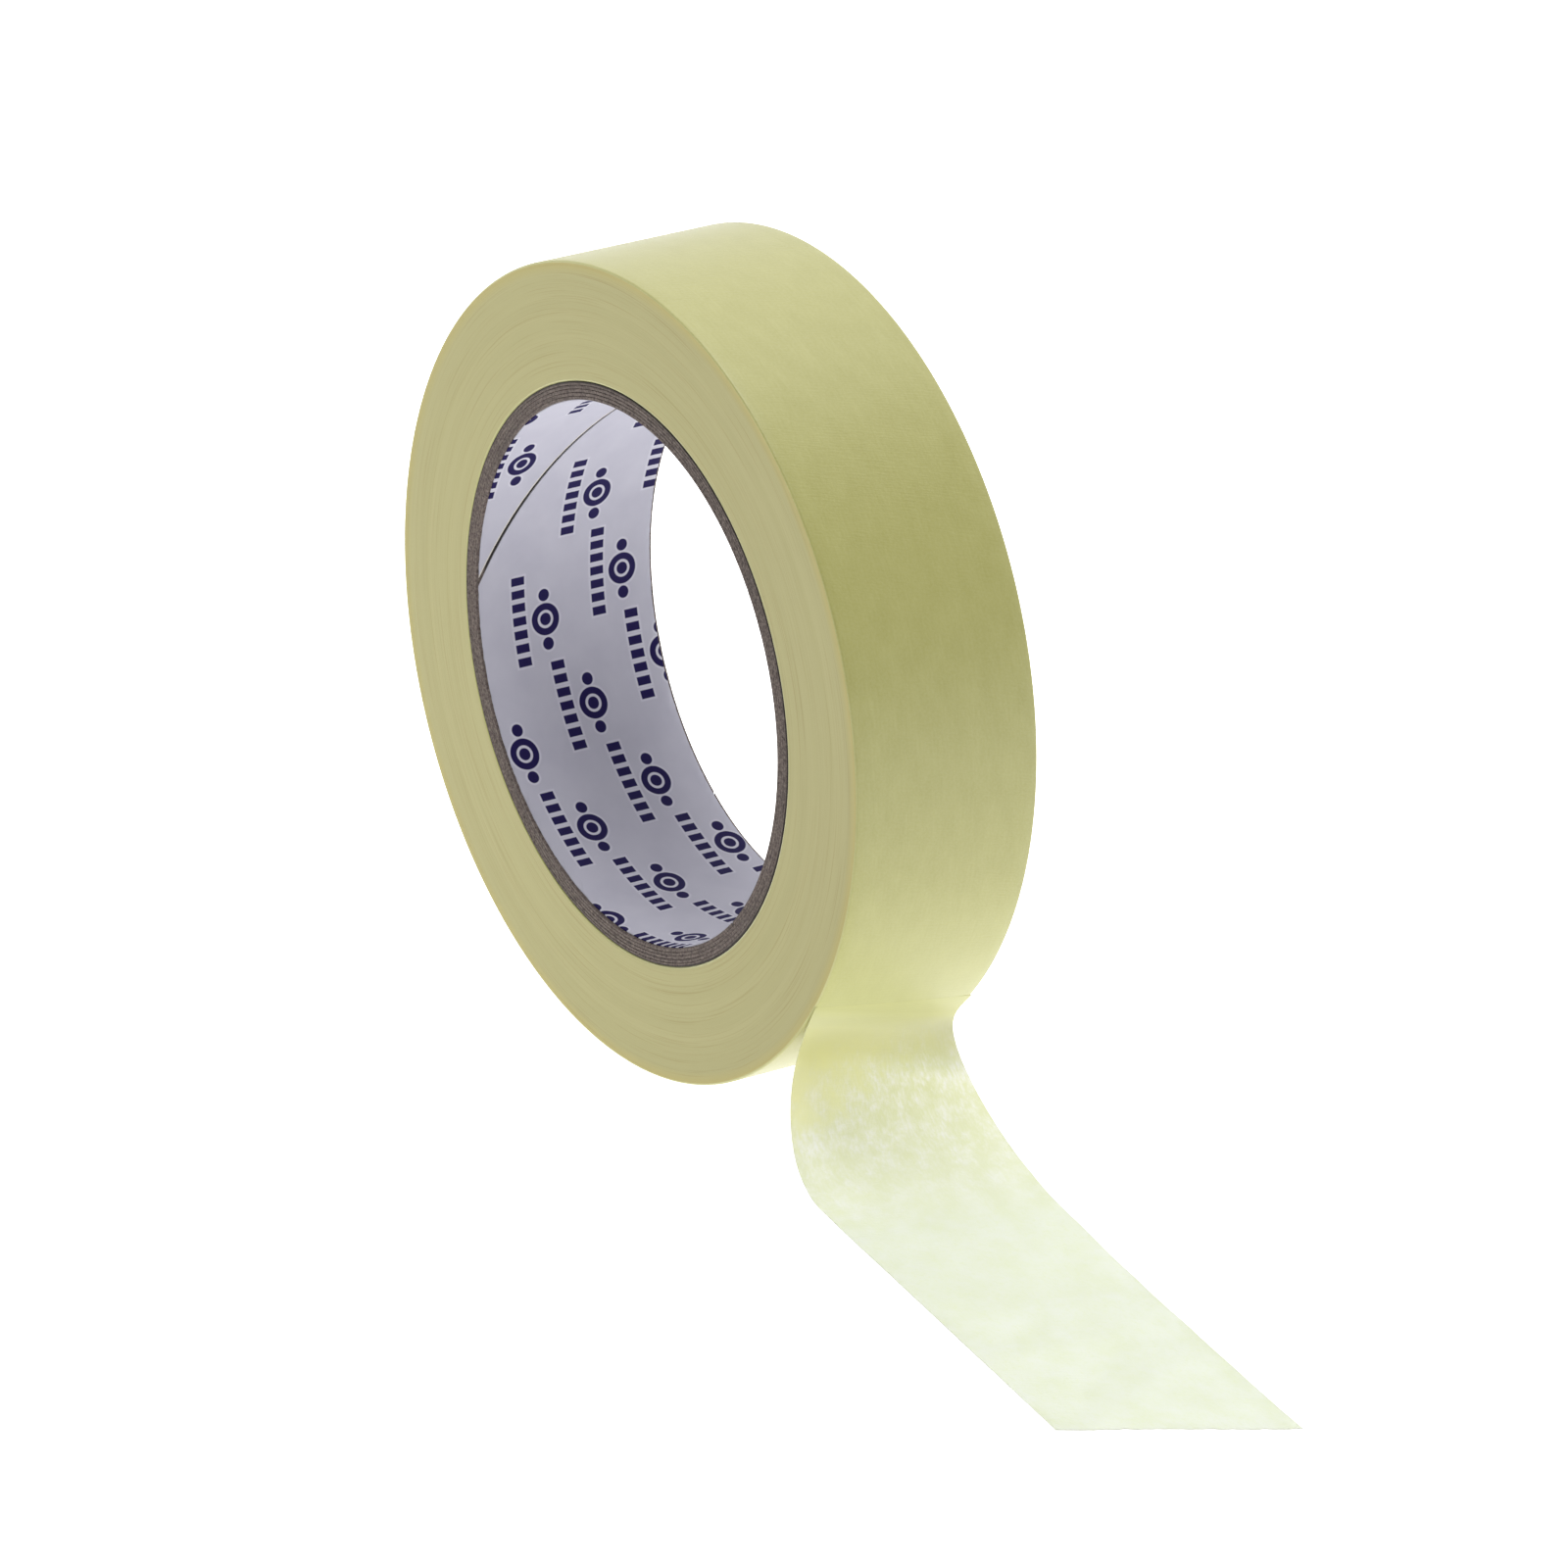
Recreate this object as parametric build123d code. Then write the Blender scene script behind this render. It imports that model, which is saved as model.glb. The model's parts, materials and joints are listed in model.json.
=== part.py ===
from build123d import *
import os
from math import cos, pi, radians, sin, tan

# A roll of masking tape, standing on its rim on a table.
#
# Millimetres. The origin is the centre of the core's bore, at half the tape's width.
# +Y is the roll's axis and +Z is up, so the table is the plane z = -roll_radius.
# The loose end of the tape leaves the roll at its lower +X side and lies on the table,
# running towards +X and a little towards -Y.

# ---- driving dimensions -------------------------------------------------------------
bore_radius = 38.1            # a standard 3 inch core
core_outer_radius = 40.8
roll_radius = 57.6
tape_width = 29.0
tape_thickness = 0.13         # crepe paper and its adhesive

liner_thickness = 0.15        # the printed paper inside the core
ply_count = 5                 # board plies of the core
glue_line = 0.02              # between two layers of the core, and under the first turn
seam_gap = 0.25               # butt gap between the edges of one ply's strip
seam_lead = -130.0            # how far a ply's strip travels along the axis in one turn
liner_seam_angle = 138.0      # where the liner's seam is at half width, from +X towards +Z
ply_seam_step = 137.0         # each ply's seam is this much further round

tail_heading = -9.5           # degrees, from +X towards +Y, on the table
tail_crossing = 28.6          # where the tail's centre line on the table crosses y = 0
tail_hinge_reach = 42.0       # from that crossing, along the tail, to where it flexes
tail_short_reach = 104.8      # to the torn end, at the -Y edge
tail_long_reach = 117.7       # to the torn end, at the +Y edge
tail_clearance = 0.4          # between the roll and the tail where it leaves the roll
flex_gap = 0.2                # between the tail's two lengths
bend_steps = 24               # flat facets along the curved length of tail

# ---- derived sizes ------------------------------------------------------------------
half_width = tape_width / 2
table_z = -roll_radius
core_inner_radius = bore_radius + liner_thickness
ply_pitch = (core_outer_radius - core_inner_radius) / ply_count
peel_z = -43.0                # below this height the tail slides over to its line on the table
along = Vector(cos(radians(tail_heading)), sin(radians(tail_heading)), 0)
across = Vector(-along.Y, along.X, 0)

# The tail's two edges, as (x, z) pairs from where they leave the roll to the table. The
# -Y edge comes away first and drops steeply. The +Y edge folds back more sharply and
# comes down in a long slope.
near_edge = [(47.8, -32.2), (45.6, -36.1), (43.6, -40.4), (42.6, -45.0), (43.4, -49.6),
             (46.3, -54.2), (52.0, -57.0), (60.0, table_z)]
far_edge = [(42.3, -39.2), (38.9, -42.6), (37.8, -44.6), (39.3, -47.4), (43.5, -50.4),
            (49.8, -53.1), (58.0, -55.1), (66.0, -56.8)]


def annulus(inner, outer):
    """A full ring of the tape's width, centred on the origin."""
    profile = Plane.XZ * (Circle(outer) - Circle(inner))
    return extrude(profile, amount=half_width, both=True)


def seam_cutter(inner, outer, seam_angle):
    """A thin twisted wall that follows one butt gap across the width."""
    sections = []
    steps = 8
    overrun = half_width + 1.0
    depth = outer - inner + 1.0
    for step in range(steps + 1):
        y = -overrun + 2 * overrun * step / steps
        angle = radians(seam_angle + 360 * y / seam_lead)
        radial = (cos(angle), 0, sin(angle))
        plane = Plane(origin=(0, y, 0), x_dir=radial, z_dir=(0, 1, 0))
        sections.append(plane * Pos((inner + outer) / 2, 0) * Rectangle(depth, seam_gap))
    return loft(sections, ruled=True)


def split_ring(inner, outer, seam_angle):
    """One wound layer of the core: a ring with its helical butt gap."""
    return annulus(inner, outer) - seam_cutter(inner, outer, seam_angle)


def edge_point(side, x, z):
    """A point on one edge of the tail; side is -1 at the -Y edge and +1 at the +Y edge."""
    slide = min(max((peel_z - z) / (peel_z - table_z), 0), 1)
    on_roll = side * half_width
    on_table = (x - tail_crossing) * tan(radians(tail_heading)) + side * half_width / along.X
    return Vector(x, on_roll + slide * (on_table - on_roll), z)


def clear_of_roll(point):
    """Moves a point straight out from the axis, to the tail's clearance over the roll."""
    radial = Vector(point.X, 0, point.Z)
    least = roll_radius + tail_clearance
    if radial.length >= least:
        return point
    out = radial.normalized() * least
    return Vector(out.X, point.Y, out.Z)


def table_point(reach, sideways):
    """A point on the table, along the tail from the crossing and across from its centre."""
    return Vector(tail_crossing, 0, table_z) + along * reach + across * sideways


def tail_edge(side, outline):
    """One edge of the tail, from where it leaves the roll to where it flexes."""
    points = [clear_of_roll(edge_point(side, *place)) for place in outline]
    points.append(table_point(tail_hinge_reach - flex_gap / 2, side * half_width))
    return Spline(points, tangents=[points[1] - points[0], along])


def tail_bend():
    """The length of tail from the roll down to the table."""
    near_curve = tail_edge(-1, near_edge)
    far_curve = tail_edge(1, far_edge)
    sections = []
    for step in range(bend_steps + 1):
        place = step / bend_steps
        near = clear_of_roll(near_curve @ place)
        far = clear_of_roll(far_curve @ place)
        near.Z = max(near.Z, table_z)
        far.Z = max(far.Z, table_z)
        far.Y = min(far.Y, half_width)
        travel = (near_curve % place) + (far_curve % place)
        lift = travel.cross(far - near).normalized() * tape_thickness
        sections.append(Face(Wire.make_polygon([near, far, far + lift, near + lift])))
    return loft(sections, ruled=True)


def tail_strip():
    """The flat length of tail on the table, out to its slanting torn end."""
    reach = tail_hinge_reach + flex_gap / 2
    outline = [table_point(reach, -half_width), table_point(tail_short_reach, -half_width),
               table_point(tail_long_reach, half_width), table_point(reach, half_width)]
    return extrude(Face(Wire.make_polygon(outline)), amount=tape_thickness, dir=(0, 0, 1))


parts = {
    "core_liner": split_ring(bore_radius, core_inner_radius, liner_seam_angle),
    "wound_tape": annulus(core_outer_radius + glue_line, roll_radius),
    "tail_bend": tail_bend(),
    "tail_strip": tail_strip(),
}
for ply in range(ply_count):
    inner = core_inner_radius + ply * ply_pitch + glue_line
    outer = core_inner_radius + (ply + 1) * ply_pitch
    seam_angle = liner_seam_angle + (ply + 1) * ply_seam_step
    parts[f"core_ply_{ply + 1}"] = split_ring(inner, outer, seam_angle)

os.makedirs("parts", exist_ok=True)
for name, shape in parts.items():
    export_step(shape, f"parts/{name}.step")
    print(name, round(shape.volume, 1), "mm3")

hinge = table_point(tail_hinge_reach, 0) + Vector(0, 0, tape_thickness)
wound_area = pi * (roll_radius**2 - core_outer_radius**2)
print("flex hinge", hinge, "axis", across * -1)
print("tape wound on the roll:", round(wound_area / tape_thickness / 1000, 1), "m")
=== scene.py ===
"""The looks of a roll of masking tape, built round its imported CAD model.

Metres. The roll's axis is Y, +Z is up, and the roll stands on a table at its lowest point.
"""
import json
from math import atan2, cos, hypot, pi, radians, sin, tan

import bpy
import numpy as np
from mathutils import Matrix, Vector, noise


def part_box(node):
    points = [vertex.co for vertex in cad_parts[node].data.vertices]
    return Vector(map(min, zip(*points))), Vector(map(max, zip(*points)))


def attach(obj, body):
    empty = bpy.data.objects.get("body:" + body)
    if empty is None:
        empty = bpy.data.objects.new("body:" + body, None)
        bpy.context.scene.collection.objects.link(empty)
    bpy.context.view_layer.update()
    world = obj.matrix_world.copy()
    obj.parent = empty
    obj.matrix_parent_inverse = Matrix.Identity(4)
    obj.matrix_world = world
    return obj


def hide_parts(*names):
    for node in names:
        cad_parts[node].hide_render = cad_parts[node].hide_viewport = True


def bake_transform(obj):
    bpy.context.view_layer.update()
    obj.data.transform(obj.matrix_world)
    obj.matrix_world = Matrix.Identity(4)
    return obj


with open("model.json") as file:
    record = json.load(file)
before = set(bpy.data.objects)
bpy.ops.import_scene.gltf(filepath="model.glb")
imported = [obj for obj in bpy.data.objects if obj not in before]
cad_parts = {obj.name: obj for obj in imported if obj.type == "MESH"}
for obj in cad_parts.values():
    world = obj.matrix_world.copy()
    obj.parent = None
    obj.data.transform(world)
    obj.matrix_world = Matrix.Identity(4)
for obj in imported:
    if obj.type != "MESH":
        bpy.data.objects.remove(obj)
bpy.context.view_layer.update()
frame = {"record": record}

MM = 0.001
SHARP_ANGLE = radians(50)         # faces that meet more steeply than this make an edge

# ---- sizes from the frame ---------------------------------------------------------------
BORE = next(m for m in frame["record"]["mounts"] if m["name"] == "core_bore")
BORE_RADIUS = BORE["dims"]["r_mm"] * MM
HALF_WIDTH = BORE["dims"]["length_mm"] * MM / 2
TABLE_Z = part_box("tail_strip")[0][2]
ROLL_RADIUS = -TABLE_Z
TAPE_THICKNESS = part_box("tail_strip")[1][2] - TABLE_Z
CORE_INNER_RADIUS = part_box("core_liner")[1][0]
CORE_OUTER_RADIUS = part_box("core_ply_5")[1][0]
PLY_COUNT = 5
PLY_PITCH = (CORE_OUTER_RADIUS - CORE_INNER_RADIUS) / PLY_COUNT

# ---- the wound tape ---------------------------------------------------------------------
WOUND_CORNER = 0.3 * MM           # rounding where the outside meets the flat faces
PEEL_STEP = 0.02 * MM             # how far round the roll the step at the tail takes
SPIRAL_POWER = 4                  # how fast the spiral dies away towards the core
# The relief of the flat faces, as (height, pitch of the rings, seed).
FACE_RELIEF = [(0.02 * MM, 0.9 * MM, 0), (0.03 * MM, 4 * MM, 7)]
RELIEF_AROUND = 1.2               # how much the relief changes round the axis
FACE_SLACK = 0.01 * MM            # a point this near a flat face counts as on it

# ---- the core's strips ------------------------------------------------------------------
GLUE_LINE = 0.02 * MM
LINER_GAP = 1.3 * MM
LINER_INSET = 0.4 * MM            # its rims sit this far in from the core's faces
LINER_CURL = 0.04 * MM            # its last edge stands this far off the board
CURL_REACH = 3 * MM
LINER_ROUGHNESS = 0.08 * MM       # unevenness of the cut rims
PLY_GAP = 0.3 * MM
PLY_ROUGHNESS = 0.06 * MM
RIM_GRAIN = 0.7 * MM
STRIP_CORNER = 0.2                # rounding of a strip's corners, per thickness
SEAM_LEAD = -130 * MM             # travel along the axis in one turn
LINER_SEAM_ANGLE = radians(138)   # from +X towards +Z, at half width
PLY_SEAM_STEP = radians(137)

# ---- the print on the liner, in millimetres on the unrolled paper -----------------------
PRINT_STEP = (13.1, 5.25)         # from one motif to the next in its row
PRINT_ROW_STEP = (4.8, -13.4)     # from one row to the next
PRINT_START = (24.9, -2.5)        # a corner of one motif's cell
PRINT_MARGIN = 7.5                # no motif's centre is nearer to the seam
SPOT_CENTRE = (0.5, 2.9)
RING_RADIUS = 1.8
RING_HALF_LINE = 0.5
DOT_PLACES = (-3.0, 0.5, 4.0)     # the middle one is inside the ring
DOT_RADIUS = 0.9
TICK_COUNT = 7
TICK_PITCH = 1.95
TICK_ROW = -1.4
TICK_HALF_SIZE = (0.62, 1.1)

# ---- the tail ---------------------------------------------------------------------------
TAIL_HEADING = radians(-9.5)
TAIL_CROSSING = 28.6 * MM         # where its centre line on the table crosses y = 0
TAIL_SHORT_REACH = 104.8 * MM     # from there to the torn end, at the -Y edge
TAIL_LONG_REACH = 117.7 * MM      # and at the +Y edge
PEEL_Z = -43 * MM                 # below this it slides over to its line on the table
TAIL_GAP = 0.01 * MM              # its paper side stands this far above the last turn's
RIPPLE_HEIGHT = 0.35 * MM
RIPPLE_SIZE = (9 * MM, 14 * MM)
SETTLED_SHARE = 0.3               # the ripples have their full height after this much of it
TEAR_DEPTH = 0.35 * MM            # raggedness of the torn end
TEAR_TEETH = 23                   # how finely it is torn across the tape
EASING_PASSES = 14                # how often its bends are evened out
# The tail's two edges as (x, z), in millimetres, from the roll down to the table.
NEAR_EDGE = [(47.8, -32.2), (45.6, -36.1), (43.6, -40.4), (42.6, -45.0), (43.4, -49.6),
             (46.3, -54.2), (52.0, -57.0), (60.0, -57.6), (80.0, -57.6)]
FAR_EDGE = [(42.3, -39.2), (38.9, -42.6), (37.8, -44.6), (39.3, -47.4), (43.5, -50.4),
            (49.8, -53.1), (58.0, -55.1), (66.0, -56.3), (84.0, -57.1)]
ALONG = Vector((cos(TAIL_HEADING), sin(TAIL_HEADING), 0))
ACROSS = Vector((-ALONG.y, ALONG.x, 0))

# ---- the camera -------------------------------------------------------------------------
CAMERA_AZIMUTH = radians(56.72)   # from -Y towards +X
CAMERA_ELEVATION = radians(22.23)
CAMERA_DISTANCE = 1.462
CAMERA_RIGHT = 9.81 * MM          # how far it stands aside from the line to the origin
CAMERA_UP = -17.88 * MM
CAMERA_LENS = 244.6
SENSOR_WIDTH = 36

# ---- the studio -------------------------------------------------------------------------
TABLE_HALF_SIZE = 3.0
TABLE_DROP = 0.02 * MM            # the table lies this far under the tape
TABLE_GREY = (0.2, 0.2, 0.2, 1)
TABLE_GLOW = (1.3, 2.0)           # in front of the roll and behind it
TABLE_GLOW_FROM = -0.08           # how far behind the origin the glow starts to grow
TABLE_GLOW_TO = 0.15              # and where it is at its full strength
WHITE = (1, 1, 1, 1)
BACKDROP_AZIMUTH = radians(40)    # the white backdrop stands opposite, from -Y towards +X
BACKDROP_EDGE = 0.6               # cosine of the angle at which it reaches full strength
ROOM_STRENGTH = 0.05
BACKDROP_STRENGTH = 1.3
OVERHEAD_PLACE = (-0.1, -0.05, 1.6)
OVERHEAD_SIZE = 1.0
OVERHEAD_POWER = 19.5

# ---- colours, as linear red, green and blue ---------------------------------------------
CREPE_DARK = (0.46, 0.445, 0.135)
CREPE_LIGHT = (0.505, 0.49, 0.165)
CREPE_FIBRE = (0.42, 0.40, 0.105)
CREPE_GRAIN = (0.57, 0.56, 0.25)
# painted light, where the white table lights the roll's outside beside the tail
CREPE_PAINTED_FLOOR_LIGHT = (0.86, 0.86, 0.38)
CUT_DARK = (0.465, 0.432, 0.192)
CUT_LIGHT = (0.495, 0.462, 0.21)
CUT_RING = (0.37, 0.295, 0.11)
CUT_RIM = (0.52, 0.44, 0.14)
BOARD_DARK = (0.055, 0.039, 0.034)
BOARD_LIGHT = (0.265, 0.215, 0.188)
BOARD_LAYER = (0.06, 0.05, 0.042)
BOARD_SHADE = (0.025, 0.02, 0.017)
PAPER_DARK = (0.50, 0.493, 0.565)
PAPER_LIGHT = (0.55, 0.543, 0.61)
PAPER_BY_INK = (0.68, 0.67, 0.74)
# painted highlight along the liner's lifted edge by the seam
PAPER_PAINTED_EDGE_LIGHT = (0.80, 0.74, 0.62)
INK = (0.012, 0.007, 0.068)
TAIL_ON_ROLL = (0.67, 0.66, 0.27)
# painted light, brightening the crease where the tail lifts off the roll
TAIL_CREASE_PAINTED_LIGHT = (0.97, 0.955, 0.56)
TAIL_OFF_ROLL = (0.94, 0.935, 0.70)
FOLD_DARK = (0.85, 0.865, 0.68)
FOLD_LIGHT = (0.965, 0.965, 0.96)
FLAT_DARK = (0.81, 0.835, 0.73)
FLAT_LIGHT = (0.83, 0.852, 0.78)
FLAT_SPECK = (0.785, 0.815, 0.645)
FLAT_PATCH = (0.845, 0.86, 0.83)
TAIL_EDGE = (0.84, 0.86, 0.74)

# ---- depths of the bumps in the materials -----------------------------------------------
CREPE_BUMP = 0.03 * MM
GRAIN_BUMP = 0.015 * MM
RING_BUMP = 0.03 * MM
BOARD_BUMP = 0.12 * MM
PAPER_BUMP = 0.01 * MM


# ---- meshes -----------------------------------------------------------------------------
def grid_faces(rows, columns, close_rows=False, close_columns=False):
    """Quads between the points of a grid that is stored row by row."""
    faces = []
    for row in range(rows if close_rows else rows - 1):
        following = (row + 1) % rows
        for column in range(columns if close_columns else columns - 1):
            beside = (column + 1) % columns
            faces.append((row * columns + column, following * columns + column,
                          following * columns + beside, row * columns + beside))
    return faces


def add_piece(name, points, faces, materials):
    """A smooth-shaded mesh object in the row frame."""
    mesh = bpy.data.meshes.new(name)
    mesh.from_pydata([tuple(point) for point in points], [], faces)
    mesh.update()
    mesh.shade_smooth()
    mesh.set_sharp_from_angle(angle=SHARP_ANGLE)
    for material in materials:
        mesh.materials.append(material)
    piece = bpy.data.objects.new(name, mesh)
    bpy.context.scene.collection.objects.link(piece)
    return piece


def add_uv(piece, coordinates):
    """A UV map from one (u, v), in metres, for each vertex."""
    layer = piece.data.uv_layers.new(name="unrolled")
    for loop in piece.data.loops:
        layer.data[loop.index].uv = coordinates[loop.vertex_index]


def band_profile(inner, outer, corner, wall_steps, face_steps, corner_steps):
    """The closed section of a band round the axis, as (radius, y), with rounded corners."""
    edge = HALF_WIDTH - corner
    centres = [(outer - corner, -edge), (outer - corner, edge),
               (inner + corner, edge), (inner + corner, -edge)]
    profile = []
    for index, (radius, y) in enumerate(centres):
        start = (index - 1) * pi / 2
        for step in range(corner_steps + 1):
            turn = start + pi / 2 * step / corner_steps
            profile.append((radius + corner * cos(turn), y + corner * sin(turn)))
        last_radius, last_y = profile[-1]
        move_radius = centres[(index + 1) % 4][0] - radius
        move_y = centres[(index + 1) % 4][1] - y
        steps = face_steps if index % 2 else wall_steps
        for step in range(1, steps):
            share = step / steps
            profile.append((last_radius + share * move_radius, last_y + share * move_y))
    return profile


def ring_noise(radius, angle, pitch, seed):
    """Smooth noise that changes quickly with the radius and slowly round the axis."""
    x = RELIEF_AROUND * cos(angle)
    y = RELIEF_AROUND * sin(angle) + seed
    return noise.noise(Vector((x, y, radius / pitch)))


def on_flat_face(y):
    """Whether a point of a band lies on one of its two flat faces."""
    return abs(y) > HALF_WIDTH - FACE_SLACK


# ---- the wound tape ---------------------------------------------------------------------
def peel_angle(y):
    """Where the tail leaves the roll: sooner at the -Y edge, and later at the +Y edge."""
    first = atan2(NEAR_EDGE[0][1], NEAR_EDGE[0][0])
    last = atan2(FAR_EDGE[0][1], FAR_EDGE[0][0])
    return first + (last - first) * (y + HALF_WIDTH) / (2 * HALF_WIDTH)


def make_wound_tape(crepe, cut_edges):
    """The wound turns. The outside is one spiral turn, with a step where the tail leaves.
    The cut edges of the turns stand a little unevenly on the two flat faces."""
    columns = 480
    profile = band_profile(CORE_OUTER_RADIUS + GLUE_LINE, ROLL_RADIUS, WOUND_CORNER,
                           wall_steps=16, face_steps=60, corner_steps=4)
    points = []
    coordinates = []
    for column in range(columns + 1):
        travel = min(2 * pi * column / columns, 2 * pi - PEEL_STEP / ROLL_RADIUS)
        for radius, y in profile:
            angle = peel_angle(y) + travel
            depth = (radius - CORE_OUTER_RADIUS) / (ROLL_RADIUS - CORE_OUTER_RADIUS)
            spiral = radius - TAPE_THICKNESS * travel / (2 * pi) * max(depth, 0) ** SPIRAL_POWER
            lift = 0
            if on_flat_face(y):
                for height, pitch, seed in FACE_RELIEF:
                    lift += height * ring_noise(radius, angle, pitch, seed)
            shifted = y + lift * (1 if y > 0 else -1)
            points.append((spiral * cos(angle), shifted, spiral * sin(angle)))
            coordinates.append((ROLL_RADIUS * travel, y))
    faces = grid_faces(columns + 1, len(profile), True, True)
    piece = add_piece("wound_turns", points, faces, [crepe, cut_edges])
    add_uv(piece, coordinates)
    for face in piece.data.polygons:
        flat = [on_flat_face(profile[index % len(profile)][1]) for index in face.vertices]
        face.material_index = 1 if all(flat) else 0
    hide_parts("wound_tape")
    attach(piece, "roll")


# ---- the core ---------------------------------------------------------------------------
def make_strip_ring(name, node, inner, outer, seam, material, roughness, inset=0, curl=0):
    """One wound strip of the core: a ring with a helical gap between the strip's edges. Its
    rims may sit in from the core's faces, and its last edge may curl in towards the axis."""
    columns = 360
    profile = band_profile(inner, outer, STRIP_CORNER * (outer - inner),
                           wall_steps=24, face_steps=4, corner_steps=2)
    seam_angle, gap = seam
    half_gap = gap / 2 / outer
    points = []
    coordinates = []
    for column in range(columns + 1):
        travel = half_gap + (2 * pi - 2 * half_gap) * column / columns
        to_edge = (2 * pi - half_gap - travel) * outer
        curled = curl * max(1 - to_edge / CURL_REACH, 0) ** 2
        for radius, y in profile:
            angle = seam_angle + 2 * pi * y / SEAM_LEAD + travel
            grain = noise.noise(Vector((radius * cos(angle), y, radius * sin(angle))) / RIM_GRAIN)
            shifted = y * (1 - inset / HALF_WIDTH)
            if on_flat_face(y):
                shifted += roughness * grain * (1 if y > 0 else -1)
            lifted = radius - curled
            points.append((lifted * cos(angle), shifted, lifted * sin(angle)))
            coordinates.append((BORE_RADIUS * (angle - seam_angle), y))
    faces = grid_faces(columns + 1, len(profile), False, True)
    faces.append(tuple(range(len(profile))))
    last = columns * len(profile)
    faces.append(tuple(range(last + len(profile) - 1, last - 1, -1)))
    piece = add_piece(name, points, faces, [material])
    add_uv(piece, coordinates)
    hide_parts(node)
    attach(piece, "roll")


def make_core(liner_paper, board):
    """The printed liner and the plies of board outside it, each with its own seam."""
    make_strip_ring("printed_liner", "core_liner", BORE_RADIUS, CORE_INNER_RADIUS,
                    (LINER_SEAM_ANGLE, LINER_GAP), liner_paper, LINER_ROUGHNESS,
                    LINER_INSET, LINER_CURL)
    for ply in range(PLY_COUNT):
        inner = CORE_INNER_RADIUS + ply * PLY_PITCH + GLUE_LINE
        outer = CORE_INNER_RADIUS + (ply + 1) * PLY_PITCH
        seam_angle = LINER_SEAM_ANGLE + (ply + 1) * PLY_SEAM_STEP
        make_strip_ring(f"board_ply_{ply + 1}", f"core_ply_{ply + 1}", inner, outer,
                        (seam_angle, PLY_GAP), board, PLY_ROUGHNESS)


# ---- the tail ---------------------------------------------------------------------------
def edge_point(side, x, z):
    """A point on one edge of the tail; side is -1 at the -Y edge and +1 at the +Y edge."""
    slide = min(max((PEEL_Z - z) / (PEEL_Z - TABLE_Z), 0), 1)
    on_roll = side * HALF_WIDTH
    on_table = (x - TAIL_CROSSING) * tan(TAIL_HEADING) + side * HALF_WIDTH / ALONG.x
    return (x, on_roll + slide * (on_table - on_roll), z)


def smooth_line(points, count):
    """Evenly spread points along a smooth line through the given ones."""
    points = np.array(points)
    places = np.concatenate([[0], np.cumsum(np.linalg.norm(np.diff(points, axis=0), axis=1))])
    slopes = np.gradient(points, places, axis=0)
    fine = np.linspace(0, places[-1], 20 * count)
    index = np.clip(np.searchsorted(places, fine, side="right") - 1, 0, len(points) - 2)
    span = (places[index + 1] - places[index])[:, None]
    share = (fine - places[index])[:, None] / span
    start = (1 + 2 * share) * (1 - share) ** 2
    leave = share * (1 - share) ** 2 * span
    arrive = share ** 2 * (share - 1) * span
    line = (start * points[index] + (1 - start) * points[index + 1]
            + leave * slopes[index] + arrive * slopes[index + 1])
    travelled = np.concatenate([[0], np.cumsum(np.linalg.norm(np.diff(line, axis=0), axis=1))])
    even = np.linspace(0, travelled[-1], count)
    return np.stack([np.interp(even, travelled, line[:, axis]) for axis in range(3)], axis=1)


def tail_edge(side, outline, end_reach, count):
    """Points along one edge of the tail's paper side, from the roll to the torn end."""
    points = [edge_point(side, x * MM, z * MM) for x, z in outline]
    end = Vector((TAIL_CROSSING, 0, TABLE_Z)) + ALONG * end_reach + ACROSS * side * HALF_WIDTH
    end.z += TAPE_THICKNESS
    points.append(tuple(end))
    return smooth_line(points, count)


def clear_of_roll(point):
    """Moves a point straight out from the axis until the roll is clear of it."""
    least = ROLL_RADIUS + TAIL_GAP
    radius = hypot(point.x, point.z)
    if radius >= least:
        return point
    return Vector((point.x * least / radius, point.y, point.z * least / radius))


def tail_surface(rows, columns):
    """The tail's paper side as a grid of points from the roll to the torn end."""
    near = tail_edge(-1, NEAR_EDGE, TAIL_SHORT_REACH, rows)
    far = tail_edge(1, FAR_EDGE, TAIL_LONG_REACH, rows)
    surface = []
    for row in range(rows):
        line = []
        settled = min(row / (SETTLED_SHARE * rows), 1)
        for column in range(columns):
            share = column / (columns - 1)
            point = Vector(near[row] * (1 - share) + far[row] * share)
            ripple = noise.noise(Vector((point.x / RIPPLE_SIZE[0], point.y / RIPPLE_SIZE[1], 3)))
            point.z += max(ripple, 0) * RIPPLE_HEIGHT * settled
            if row == rows - 1:
                point += ALONG * TEAR_DEPTH * noise.noise(Vector((0, share * TEAR_TEETH, 5)))
            point.z = max(point.z, TABLE_Z + TAPE_THICKNESS)
            line.append(clear_of_roll(point))
        surface.append(line)
    return relaxed(surface)


def relaxed(surface):
    """The surface with its bends along the tail eased. Its two ends stay where they are."""
    for _ in range(EASING_PASSES):
        eased = [surface[0]]
        for before, line, after in zip(surface, surface[1:], surface[2:]):
            eased.append([clear_of_roll((left + 2 * point + right) / 4)
                          for left, point, right in zip(before, line, after)])
        surface = eased + [surface[-1]]
    return surface


def adhesive_surface(upper):
    """The tail's adhesive side: the paper side's grid, one tape thickness below it."""
    rows, columns = len(upper), len(upper[0])
    under = []
    for row in range(rows):
        before, after = max(row - 1, 0), min(row + 1, rows - 1)
        line = []
        for column in range(columns):
            left, right = max(column - 1, 0), min(column + 1, columns - 1)
            travel = upper[after][column] - upper[before][column]
            normal = travel.cross(upper[row][right] - upper[row][left]).normalized()
            below = upper[row][column] - normal * TAPE_THICKNESS
            below.z = max(below.z, TABLE_Z)
            line.append(below)
        under.append(line)
    return under


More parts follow.
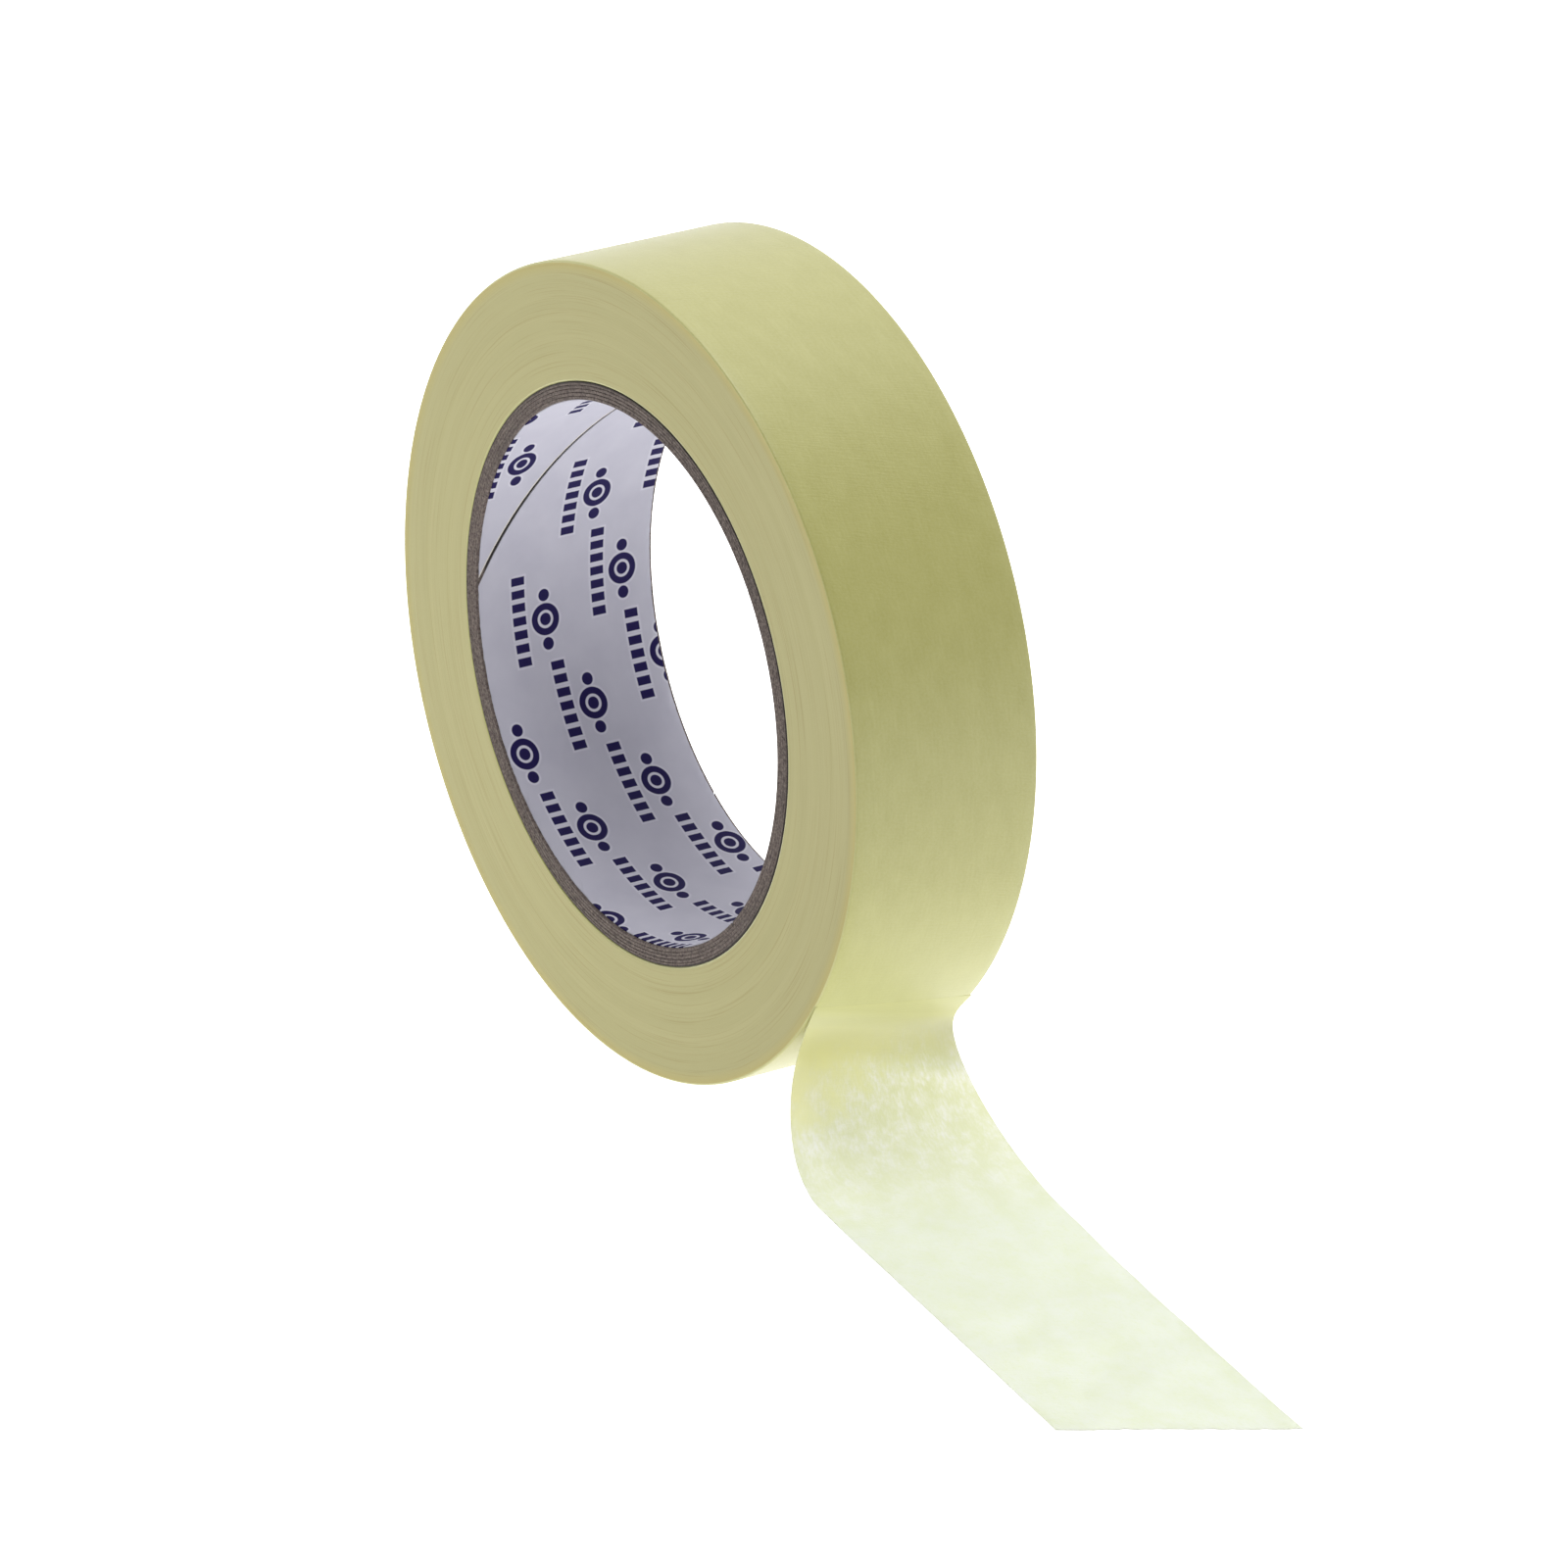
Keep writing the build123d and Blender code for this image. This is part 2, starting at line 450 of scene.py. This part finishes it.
def make_tail(materials):
    """The loose end as one closed sheet: its paper side, its adhesive side and the edges."""
    rows, columns = 240, 40
    upper = tail_surface(rows, columns)
    under = adhesive_surface(upper)
    points = []
    coordinates = []
    length = 0
    middle = columns // 2
    across = np.linspace(-HALF_WIDTH, HALF_WIDTH, columns)
    for row in range(rows):
        if row:
            length += (upper[row][middle] - upper[row - 1][middle]).length
        points += under[row] + upper[row][::-1]
        coordinates += [(length, y) for y in np.concatenate([across, across[::-1]])]
    loop = 2 * columns
    faces = grid_faces(rows, loop, False, True)
    last = loop * (rows - 1)
    for column in range(columns - 1):
        opposite = loop - 1 - column
        faces.append((column, column + 1, opposite - 1, opposite))
        faces.append((last + opposite, last + opposite - 1, last + column + 1, last + column))
    piece = add_piece("loose_end", points, faces, materials)
    add_uv(piece, coordinates)
    for face in piece.data.polygons:
        below = sum(index % loop < columns for index in face.vertices)
        face.material_index = {0: 0, 4: 1}.get(below, 2)
    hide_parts("tail_bend", "tail_strip")
    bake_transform(piece)


# ---- materials --------------------------------------------------------------------------
MIX_INPUTS = (0, 6, 7)            # a mix node's factor and its two colours
MIX_OUTPUT = 2


class Paint:
    """A material's nodes, added one at a time. Values may be numbers or other nodes' sockets."""

    def __init__(self, name, **sockets):
        self.material = bpy.data.materials.new(name)
        self.material.use_nodes = True
        self.tree = self.material.node_tree
        self.shader = self.tree.nodes["Principled BSDF"]
        self.output = self.tree.nodes["Material Output"]
        for socket, value in sockets.items():
            self.set(self.shader, socket.replace("_", " "), value)

    def set(self, node, socket, value):
        """Gives a node's input a fixed value, or links another node's output to it."""
        if isinstance(value, bpy.types.NodeSocket):
            self.tree.links.new(value, node.inputs[socket])
        else:
            node.inputs[socket].default_value = value

    def add(self, kind, output=0, **sockets):
        """A new node's output socket. A socket's name is its label with _ for each space."""
        node = self.tree.nodes.new(kind)
        for socket, value in sockets.items():
            self.set(node, socket.replace("_", " "), value)
        return node.outputs[output]

    def math(self, operation, *values):
        """A sum, product or other simple result of values."""
        node = self.tree.nodes.new("ShaderNodeMath")
        node.operation = operation
        for index, value in enumerate(values):
            self.set(node, index, value)
        return node.outputs[0]

    def uv(self):
        """Where a point is on the unrolled piece, in metres."""
        return self.add("ShaderNodeTexCoord", "UV")

    def place(self):
        """Where a point is in the piece's own frame."""
        return self.add("ShaderNodeTexCoord", "Object")

    def split(self, vector):
        """The three parts of a vector."""
        node = self.tree.nodes.new("ShaderNodeSeparateXYZ")
        self.set(node, 0, vector)
        return node.outputs

    def length(self, x, y):
        """How long the line from the origin to (x, y) is."""
        squares = self.math("ADD", self.math("MULTIPLY", x, x), self.math("MULTIPLY", y, y))
        return self.math("SQRT", squares)

    def noise(self, vector, detail, roughness=0.55):
        """Noise from 0 to 1 whose grain is one unit of the vector."""
        return self.add("ShaderNodeTexNoise", Vector=vector, Scale=1.0, Detail=detail,
                        Roughness=roughness)

    def stretched_noise(self, vector, size, detail, roughness=0.55):
        """Noise whose grain is size = (x, y, z) millimetres."""
        node = self.tree.nodes.new("ShaderNodeVectorMath")
        node.operation = "MULTIPLY"
        self.set(node, 0, vector)
        node.inputs[1].default_value = tuple(1 / (length * MM) for length in size)
        return self.noise(node.outputs[0], detail, roughness)

    def ring_noise(self, x, z, radius, across, pitch):
        """Noise in rings round the axis: pitch is their spacing, and across is how far one
        runs before it changes."""
        scaled = self.add("ShaderNodeCombineXYZ", X=self.math("MULTIPLY", x, 1 / across),
                          Y=self.math("MULTIPLY", z, 1 / across),
                          Z=self.math("DIVIDE", radius, pitch))
        return self.noise(scaled, 3)

    def ramp(self, value, low, high, to_low=0.0, to_high=1.0):
        """Maps low to high onto to_low to to_high, held at the ends."""
        return self.add("ShaderNodeMapRange", Value=value, From_Min=low, From_Max=high,
                        To_Min=to_low, To_Max=to_high)

    def mix(self, share, first, second):
        """A colour between two colours."""
        node = self.tree.nodes.new("ShaderNodeMix")
        node.data_type = "RGBA"
        for index, value in zip(MIX_INPUTS, (share, first, second)):
            if isinstance(value, tuple):
                value = (*value, 1.0)
            self.set(node, index, value)
        return node.outputs[MIX_OUTPUT]

    def color(self, value):
        """Sets the shader's base colour."""
        self.set(self.shader, "Base Color", value)

    def bump(self, height, depth, under=None):
        """A bump of that depth in metres, on top of another one."""
        node = self.tree.nodes.new("ShaderNodeBump")
        self.set(node, "Height", height)
        node.inputs["Distance"].default_value = depth
        if under is not None:
            self.set(node, "Normal", under)
        self.set(self.shader, "Normal", node.outputs[0])
        return node.outputs[0]


def crepe_material():
    """The paper side of the tape on the roll: smooth, with fine crepe lines across it."""
    paint = Paint("crepe_paper", Roughness=0.45, Specular_IOR_Level=0.8, Sheen_Weight=0.6,
                  Sheen_Roughness=0.4)
    uv = paint.uv()
    mottle = paint.stretched_noise(uv, (5, 3, 1), 3)
    fibre = paint.stretched_noise(uv, (5, 0.4, 1), 5, 0.65)
    crepe = paint.stretched_noise(uv, (0.3, 3.0, 1), 3)
    grain = paint.stretched_noise(uv, (0.4, 0.4, 1), 4, 0.7)
    base = paint.mix(paint.ramp(mottle, 0.3, 0.7), CREPE_DARK, CREPE_LIGHT)
    base = paint.mix(paint.ramp(fibre, 0.35, 0.65, 0, 0.35), base, CREPE_FIBRE)
    base = paint.mix(paint.ramp(grain, 0.4, 0.62, 0, 0.25), base, CREPE_GRAIN)
    u, _, _ = paint.split(uv)
    # Painted light: for 26 mm round from where the tail leaves, the roll's outside is made
    # lighter, as the white table below lights it.
    base = paint.mix(paint.ramp(u, 0, 26 * MM, 0.38, 0), base, CREPE_PAINTED_FLOOR_LIGHT)
    paint.color(base)
    bumped = paint.bump(crepe, CREPE_BUMP)
    paint.bump(grain, GRAIN_BUMP, bumped)
    return paint.material


def cut_edge_material():
    """The slit edges of the turns: fine rings round the axis, yellower at the outside."""
    paint = Paint("cut_edges", Roughness=0.75, Sheen_Weight=0.1, Sheen_Roughness=0.5)
    x, _, z = paint.split(paint.place())
    radius = paint.length(x, z)
    fine = paint.ring_noise(x, z, radius, across=25 * MM, pitch=0.16 * MM)
    broad = paint.ring_noise(x, z, radius, across=100 * MM, pitch=1.6 * MM)
    grain = paint.stretched_noise(paint.place(), (0.3, 0.3, 0.3), 2)
    base = paint.mix(paint.ramp(broad, 0.3, 0.7), CUT_DARK, CUT_LIGHT)
    base = paint.mix(paint.ramp(fine, 0.56, 0.68, 0, 0.6), base, CUT_RING)
    rim = paint.ramp(radius, ROLL_RADIUS - 2 * MM, ROLL_RADIUS - 0.3 * MM, 0, 0.75)
    paint.color(paint.mix(rim, base, CUT_RIM))
    bumped = paint.bump(fine, RING_BUMP)
    paint.bump(grain, GRAIN_BUMP, bumped)
    return paint.material


def board_material():
    """Grey-brown recycled board. Its cut edge is fibrous and darkest at the outside, and it is
    painted with shade inside the core, where only the liner's seam shows it."""
    paint = Paint("core_board", Roughness=0.9)
    x, y, z = paint.split(paint.place())
    radius = paint.length(x, z)
    fibre = paint.stretched_noise(paint.place(), (0.4, 0.4, 0.4), 5, 0.75)
    layer = paint.ring_noise(x, z, radius, across=50 * MM / 3, pitch=0.25 * MM)
    base = paint.mix(paint.ramp(fibre, 0.35, 0.65), BOARD_DARK, BOARD_LIGHT)
    base = paint.mix(paint.ramp(layer, 0.45, 0.7, 0, 0.4), base, BOARD_LAYER)
    outside = paint.ramp(radius, CORE_OUTER_RADIUS - 0.28 * MM, CORE_OUTER_RADIUS - 0.12 * MM,
                         0, 0.85)
    # Painted shade: inside the core, seen only through the liner's seam, the board is darkened,
    # more so further in from the faces.
    inside = paint.ramp(radius, CORE_INNER_RADIUS + 0.1 * MM, CORE_INNER_RADIUS + 0.04 * MM)
    deep = paint.ramp(paint.math("ABSOLUTE", y), HALF_WIDTH - 1.2 * MM, HALF_WIDTH - 1.6 * MM)
    inside = paint.math("MULTIPLY", inside, deep)
    dark = paint.math("MAXIMUM", outside, inside)
    paint.color(paint.mix(dark, base, BOARD_SHADE))
    paint.bump(fibre, BOARD_BUMP)
    return paint.material


def liner_material():
    """White paper, printed all over with a plain repeated motif."""
    paint = Paint("printed_paper", Roughness=0.65, Specular_IOR_Level=0.12)
    uv = paint.uv()
    cloud = paint.stretched_noise(uv, (7, 7, 1), 3)
    paper = paint.mix(paint.ramp(cloud, 0.3, 0.7), PAPER_DARK, PAPER_LIGHT)
    outline = print_outline(paint, uv)
    paper = paint.mix(paint.ramp(outline, 0.4, 0.2, 0, 0.6), paper, PAPER_BY_INK)
    paper = paint.mix(paint.ramp(outline, 0.06, -0.06), paper, INK)
    u, v, _ = paint.split(uv)
    # Painted highlight: a cream strip along the liner's last edge by the seam, where its lifted
    # edge would catch the light.
    edge = 2 * pi * BORE_RADIUS - LINER_GAP / 2
    lit_edge = paint.ramp(from_seam(paint, u, v), edge - 0.45 * MM, edge - 0.3 * MM, 0, 0.7)
    paint.color(paint.mix(lit_edge, paper, PAPER_PAINTED_EDGE_LIGHT))
    paint.bump(paint.stretched_noise(uv, (0.3, 0.3, 1), 3), PAPER_BUMP)
    return paint.material


def from_seam(paint, u, v):
    """How far round the bore a point of the unrolled liner is from the seam."""
    return paint.math("MULTIPLY_ADD", v, -2 * pi * BORE_RADIUS / SEAM_LEAD, u)


def print_outline(paint, uv):
    """How far a point is outside the ink, in millimetres, or inside it when negative. The
    motif is a ringed spot between two dots, over a row of ticks. It repeats along two
    slanting directions on the unrolled liner, and leaves a margin beside the seam."""
    step_u, step_v = PRINT_STEP
    row_u, row_v = PRINT_ROW_STEP
    start_u, start_v = PRINT_START
    area = step_u * row_v - step_v * row_u
    u, v, _ = paint.split(uv)
    u = paint.math("MULTIPLY_ADD", u, 1 / MM, -start_u)
    v = paint.math("MULTIPLY_ADD", v, 1 / MM, -start_v)
    count = paint.math("MULTIPLY_ADD", u, row_v / area, paint.math("MULTIPLY", v, -row_u / area))
    row = paint.math("MULTIPLY_ADD", u, -step_v / area, paint.math("MULTIPLY", v, step_u / area))
    count = paint.math("SUBTRACT", paint.math("FRACT", count), 0.5)
    row = paint.math("SUBTRACT", paint.math("FRACT", row), 0.5)
    a = paint.math("MULTIPLY_ADD", count, step_u, paint.math("MULTIPLY", row, row_u))
    b = paint.math("MULTIPLY_ADD", count, step_v, paint.math("MULTIPLY", row, row_v))
    outline = ring_outline(paint, a, b, SPOT_CENTRE, RING_RADIUS, RING_HALF_LINE)
    for place in DOT_PLACES:
        dot = ring_outline(paint, a, b, (place, SPOT_CENTRE[1]), 0.0, DOT_RADIUS)
        outline = paint.math("MINIMUM", outline, dot)
    for tick in range(TICK_COUNT):
        centre = (TICK_PITCH * (tick - (TICK_COUNT - 1) / 2), TICK_ROW)
        box = box_outline(paint, a, b, centre, TICK_HALF_SIZE)
        outline = paint.math("MINIMUM", outline, box)
    centre_u = paint.math("ADD", paint.math("SUBTRACT", u, a), start_u)
    centre_v = paint.math("ADD", paint.math("SUBTRACT", v, b), start_v)
    after_seam = from_seam(paint, centre_u, centre_v)
    before_seam = paint.math("SUBTRACT", 2 * pi * BORE_RADIUS / MM, after_seam)
    nearest = paint.math("MINIMUM", after_seam, before_seam)
    too_near = paint.math("LESS_THAN", nearest, PRINT_MARGIN)
    return paint.math("MULTIPLY_ADD", too_near, PRINT_MARGIN, outline)


def ring_outline(paint, a, b, centre, radius, half_line):
    """How far outside a ring's line, or outside a dot when the ring's radius is 0."""
    da = paint.math("SUBTRACT", a, centre[0])
    db = paint.math("SUBTRACT", b, centre[1])
    off = paint.math("ABSOLUTE", paint.math("SUBTRACT", paint.length(da, db), radius))
    return paint.math("SUBTRACT", off, half_line)


def box_outline(paint, a, b, centre, half_size):
    """How far outside an upright box."""
    da = paint.math("SUBTRACT", paint.math("ABSOLUTE", paint.math("SUBTRACT", a, centre[0])),
                    half_size[0])
    db = paint.math("SUBTRACT", paint.math("ABSOLUTE", paint.math("SUBTRACT", b, centre[1])),
                    half_size[1])
    return paint.math("MAXIMUM", da, db)


def tail_side_material(name, roughness):
    """One side of the loose end, which lets light through. It is yellow like the roll where
    it leaves it, blotched white round the fold, and whiter on the table."""
    paint = Paint(name, Roughness=roughness, Sheen_Weight=0.6, Sheen_Roughness=0.4)
    uv = paint.uv()
    u, v, _ = paint.split(uv)
    cloud = paint.stretched_noise(uv, (9, 6, 1), 3)
    patches = paint.stretched_noise(uv, (4.0, 3.0, 1), 8, 0.75)
    specks = paint.stretched_noise(uv, (0.9, 0.5, 1), 3, 0.6)
    fibres = paint.stretched_noise(uv, (1.2, 0.4, 1), 5, 0.7)
    crepe = paint.stretched_noise(uv, (0.35, 2.5, 1), 3)
    grain = paint.stretched_noise(uv, (0.25, 0.25, 1), 2)
    blotch = paint.math("MULTIPLY", paint.ramp(patches, 0.43, 0.6, 0.2, 1),
                        paint.ramp(specks, 0.4, 0.6, 0.4, 1))
    blotch = paint.math("ADD", blotch, paint.ramp(fibres, 0.4, 0.65, -0.25, 0.25))
    fold = paint.mix(paint.ramp(blotch, 0, 1), FOLD_DARK, FOLD_LIGHT)
    flat = paint.mix(paint.ramp(cloud, 0.35, 0.65), FLAT_DARK, FLAT_LIGHT)
    flat = paint.mix(paint.ramp(specks, 0.5, 0.7, 0, 0.5), flat, FLAT_SPECK)
    flat = paint.mix(paint.ramp(patches, 0.45, 0.65, 0, 0.6), flat, FLAT_PATCH)
    base = paint.mix(paint.ramp(u, 14 * MM, 45 * MM), fold, flat)
    # The yellow ends raggedly, and further along at the -Y edge.
    reach = paint.math("MULTIPLY_ADD", v, 0.6, u)
    ragged = paint.math("MULTIPLY_ADD", paint.math("SUBTRACT", patches, 0.5), 22 * MM, reach)
    base = paint.mix(paint.ramp(ragged, 4 * MM, 15 * MM), TAIL_OFF_ROLL, base)
    # Where the tail still lies on the roll, it looks like the roll and lets no light through.
    # Where it lifts off at the crease, painted light brightens its yellow, standing in for light
    # bounced off the roll.
    off_roll = paint.math("MULTIPLY_ADD", v, -0.155, u)
    start = paint.mix(paint.ramp(off_roll, 2.5 * MM, 6.5 * MM), TAIL_ON_ROLL, TAIL_CREASE_PAINTED_LIGHT)
    base = paint.mix(paint.ramp(u, 5 * MM, 12 * MM), start, base)
    paint.color(base)
    bumped = paint.bump(crepe, CREPE_BUMP)
    bumped = paint.bump(grain, GRAIN_BUMP, bumped)
    glow = paint.add("ShaderNodeBsdfTranslucent", Color=base, Normal=bumped)
    both = paint.tree.nodes.new("ShaderNodeMixShader")
    paint.set(both, 0, paint.ramp(off_roll, 3 * MM, 12 * MM, 0, 0.7))
    paint.set(both, 1, paint.shader.outputs[0])
    paint.set(both, 2, glow)
    paint.set(paint.output, "Surface", both.outputs[0])
    return paint.material


def tail_edge_material():
    """The loose end's thin edges."""
    paint = Paint("loose_paper_edges", Roughness=0.6)
    u, _, _ = paint.split(paint.uv())
    paint.color(paint.mix(paint.ramp(u, 0, 25 * MM), TAIL_ON_ROLL, TAIL_EDGE))
    return paint.material


# ---- the studio -------------------------------------------------------------------------
def make_floor():
    """A white table that glows, more so behind the roll, so that no shadow shows on it."""
    half = TABLE_HALF_SIZE
    corners = [(-half, -half), (half, -half), (half, half), (-half, half)]
    mesh = bpy.data.meshes.new("table")
    mesh.from_pydata([(x, y, TABLE_Z - TABLE_DROP) for x, y in corners], [], [(0, 1, 2, 3)])
    table = bpy.data.objects.new("table", mesh)
    bpy.context.scene.collection.objects.link(table)
    paint = Paint("white_table", Roughness=0.9)
    paint.shader.inputs["Base Color"].default_value = TABLE_GREY
    paint.shader.inputs["Emission Color"].default_value = WHITE
    x, y, _ = paint.split(paint.place())
    behind = paint.math("MULTIPLY_ADD", x, -sin(CAMERA_AZIMUTH),
                        paint.math("MULTIPLY", y, cos(CAMERA_AZIMUTH)))
    paint.set(paint.shader, "Emission Strength",
              paint.ramp(behind, TABLE_GLOW_FROM, TABLE_GLOW_TO, *TABLE_GLOW))
    mesh.materials.append(paint.material)


def add_area_light(name, place, size, power):
    """A square soft light that faces the roll."""
    light = bpy.data.lights.new(name, "AREA")
    light.size = size
    light.energy = power
    lamp = bpy.data.objects.new(name, light)
    lamp.location = place
    lamp.rotation_euler = (-Vector(place)).to_track_quat("-Z", "Y").to_euler()
    bpy.context.scene.collection.objects.link(lamp)


def make_lights():
    """A dim room with a bright backdrop on one side, and one soft light overhead."""
    world = bpy.data.worlds.new("soft_room")
    world.use_nodes = True
    tree = world.node_tree
    background = tree.nodes["Background"]
    background.inputs["Color"].default_value = WHITE
    place = tree.nodes.new("ShaderNodeTexCoord")
    behind = tree.nodes.new("ShaderNodeVectorMath")
    behind.operation = "DOT_PRODUCT"
    behind.inputs[1].default_value = (-sin(BACKDROP_AZIMUTH), cos(BACKDROP_AZIMUTH), 0)
    backdrop = tree.nodes.new("ShaderNodeMapRange")
    for socket, value in (("From Min", 0.0), ("From Max", BACKDROP_EDGE),
                          ("To Min", ROOM_STRENGTH), ("To Max", BACKDROP_STRENGTH)):
        backdrop.inputs[socket].default_value = value
    tree.links.new(place.outputs["Generated"], behind.inputs[0])
    tree.links.new(behind.outputs["Value"], backdrop.inputs["Value"])
    tree.links.new(backdrop.outputs[0], background.inputs["Strength"])
    bpy.context.scene.world = world
    add_area_light("overhead", OVERHEAD_PLACE, OVERHEAD_SIZE, OVERHEAD_POWER)
    bpy.context.scene.view_settings.view_transform = "Standard"


def make_camera():
    """The camera, which looks at the roll from its front and a little from above."""
    right = Vector((cos(CAMERA_AZIMUTH), sin(CAMERA_AZIMUTH), 0))
    back = Vector((sin(CAMERA_AZIMUTH) * cos(CAMERA_ELEVATION),
                   -cos(CAMERA_AZIMUTH) * cos(CAMERA_ELEVATION), sin(CAMERA_ELEVATION)))
    up = back.cross(right)
    data = bpy.data.cameras.new("camera")
    data.lens = CAMERA_LENS
    data.sensor_width = SENSOR_WIDTH
    data.clip_end = 10
    camera = bpy.data.objects.new("camera", data)
    turn = Matrix((right, up, back)).transposed()
    place = back * CAMERA_DISTANCE + right * CAMERA_RIGHT + up * CAMERA_UP
    camera.matrix_world = Matrix.Translation(place) @ turn.to_4x4()
    bpy.context.scene.collection.objects.link(camera)
    bpy.context.scene.camera = camera


make_camera()
make_floor()
make_lights()
make_wound_tape(crepe_material(), cut_edge_material())
make_core(liner_material(), board_material())
make_tail([tail_side_material("loose_crepe_paper", 0.5),
           tail_side_material("adhesive_side", 0.35), tail_edge_material()])
